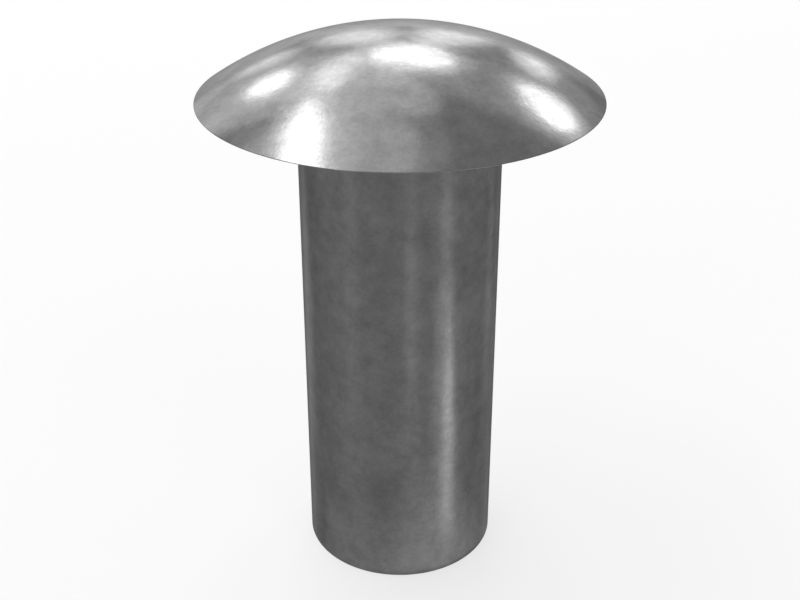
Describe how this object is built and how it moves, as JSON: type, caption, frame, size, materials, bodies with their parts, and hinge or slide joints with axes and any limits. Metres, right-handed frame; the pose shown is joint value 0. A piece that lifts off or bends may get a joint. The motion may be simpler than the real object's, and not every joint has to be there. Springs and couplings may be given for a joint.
{
  "type": "solid rivet",
  "caption": "Solid steel rivet with a low domed head, a flat bearing face under it and a plain round shank, for joining sheets.",
  "frame": {"origin": "centre of the flat end of the shank, where the rivet stands", "axes": "+Z runs along the rivet's axis, from the flat end of the shank to the top of the head; X and Y are free, because the rivet is round"},
  "size_m": [0.0094, 0.0094, 0.0136],
  "materials": {
    "steel": "dull grey wire-drawn steel, faintly mottled, with a satin sheen"
  },
  "bodies": {
    "root": {"rivet": "steel"}
  },
  "joints": []
}
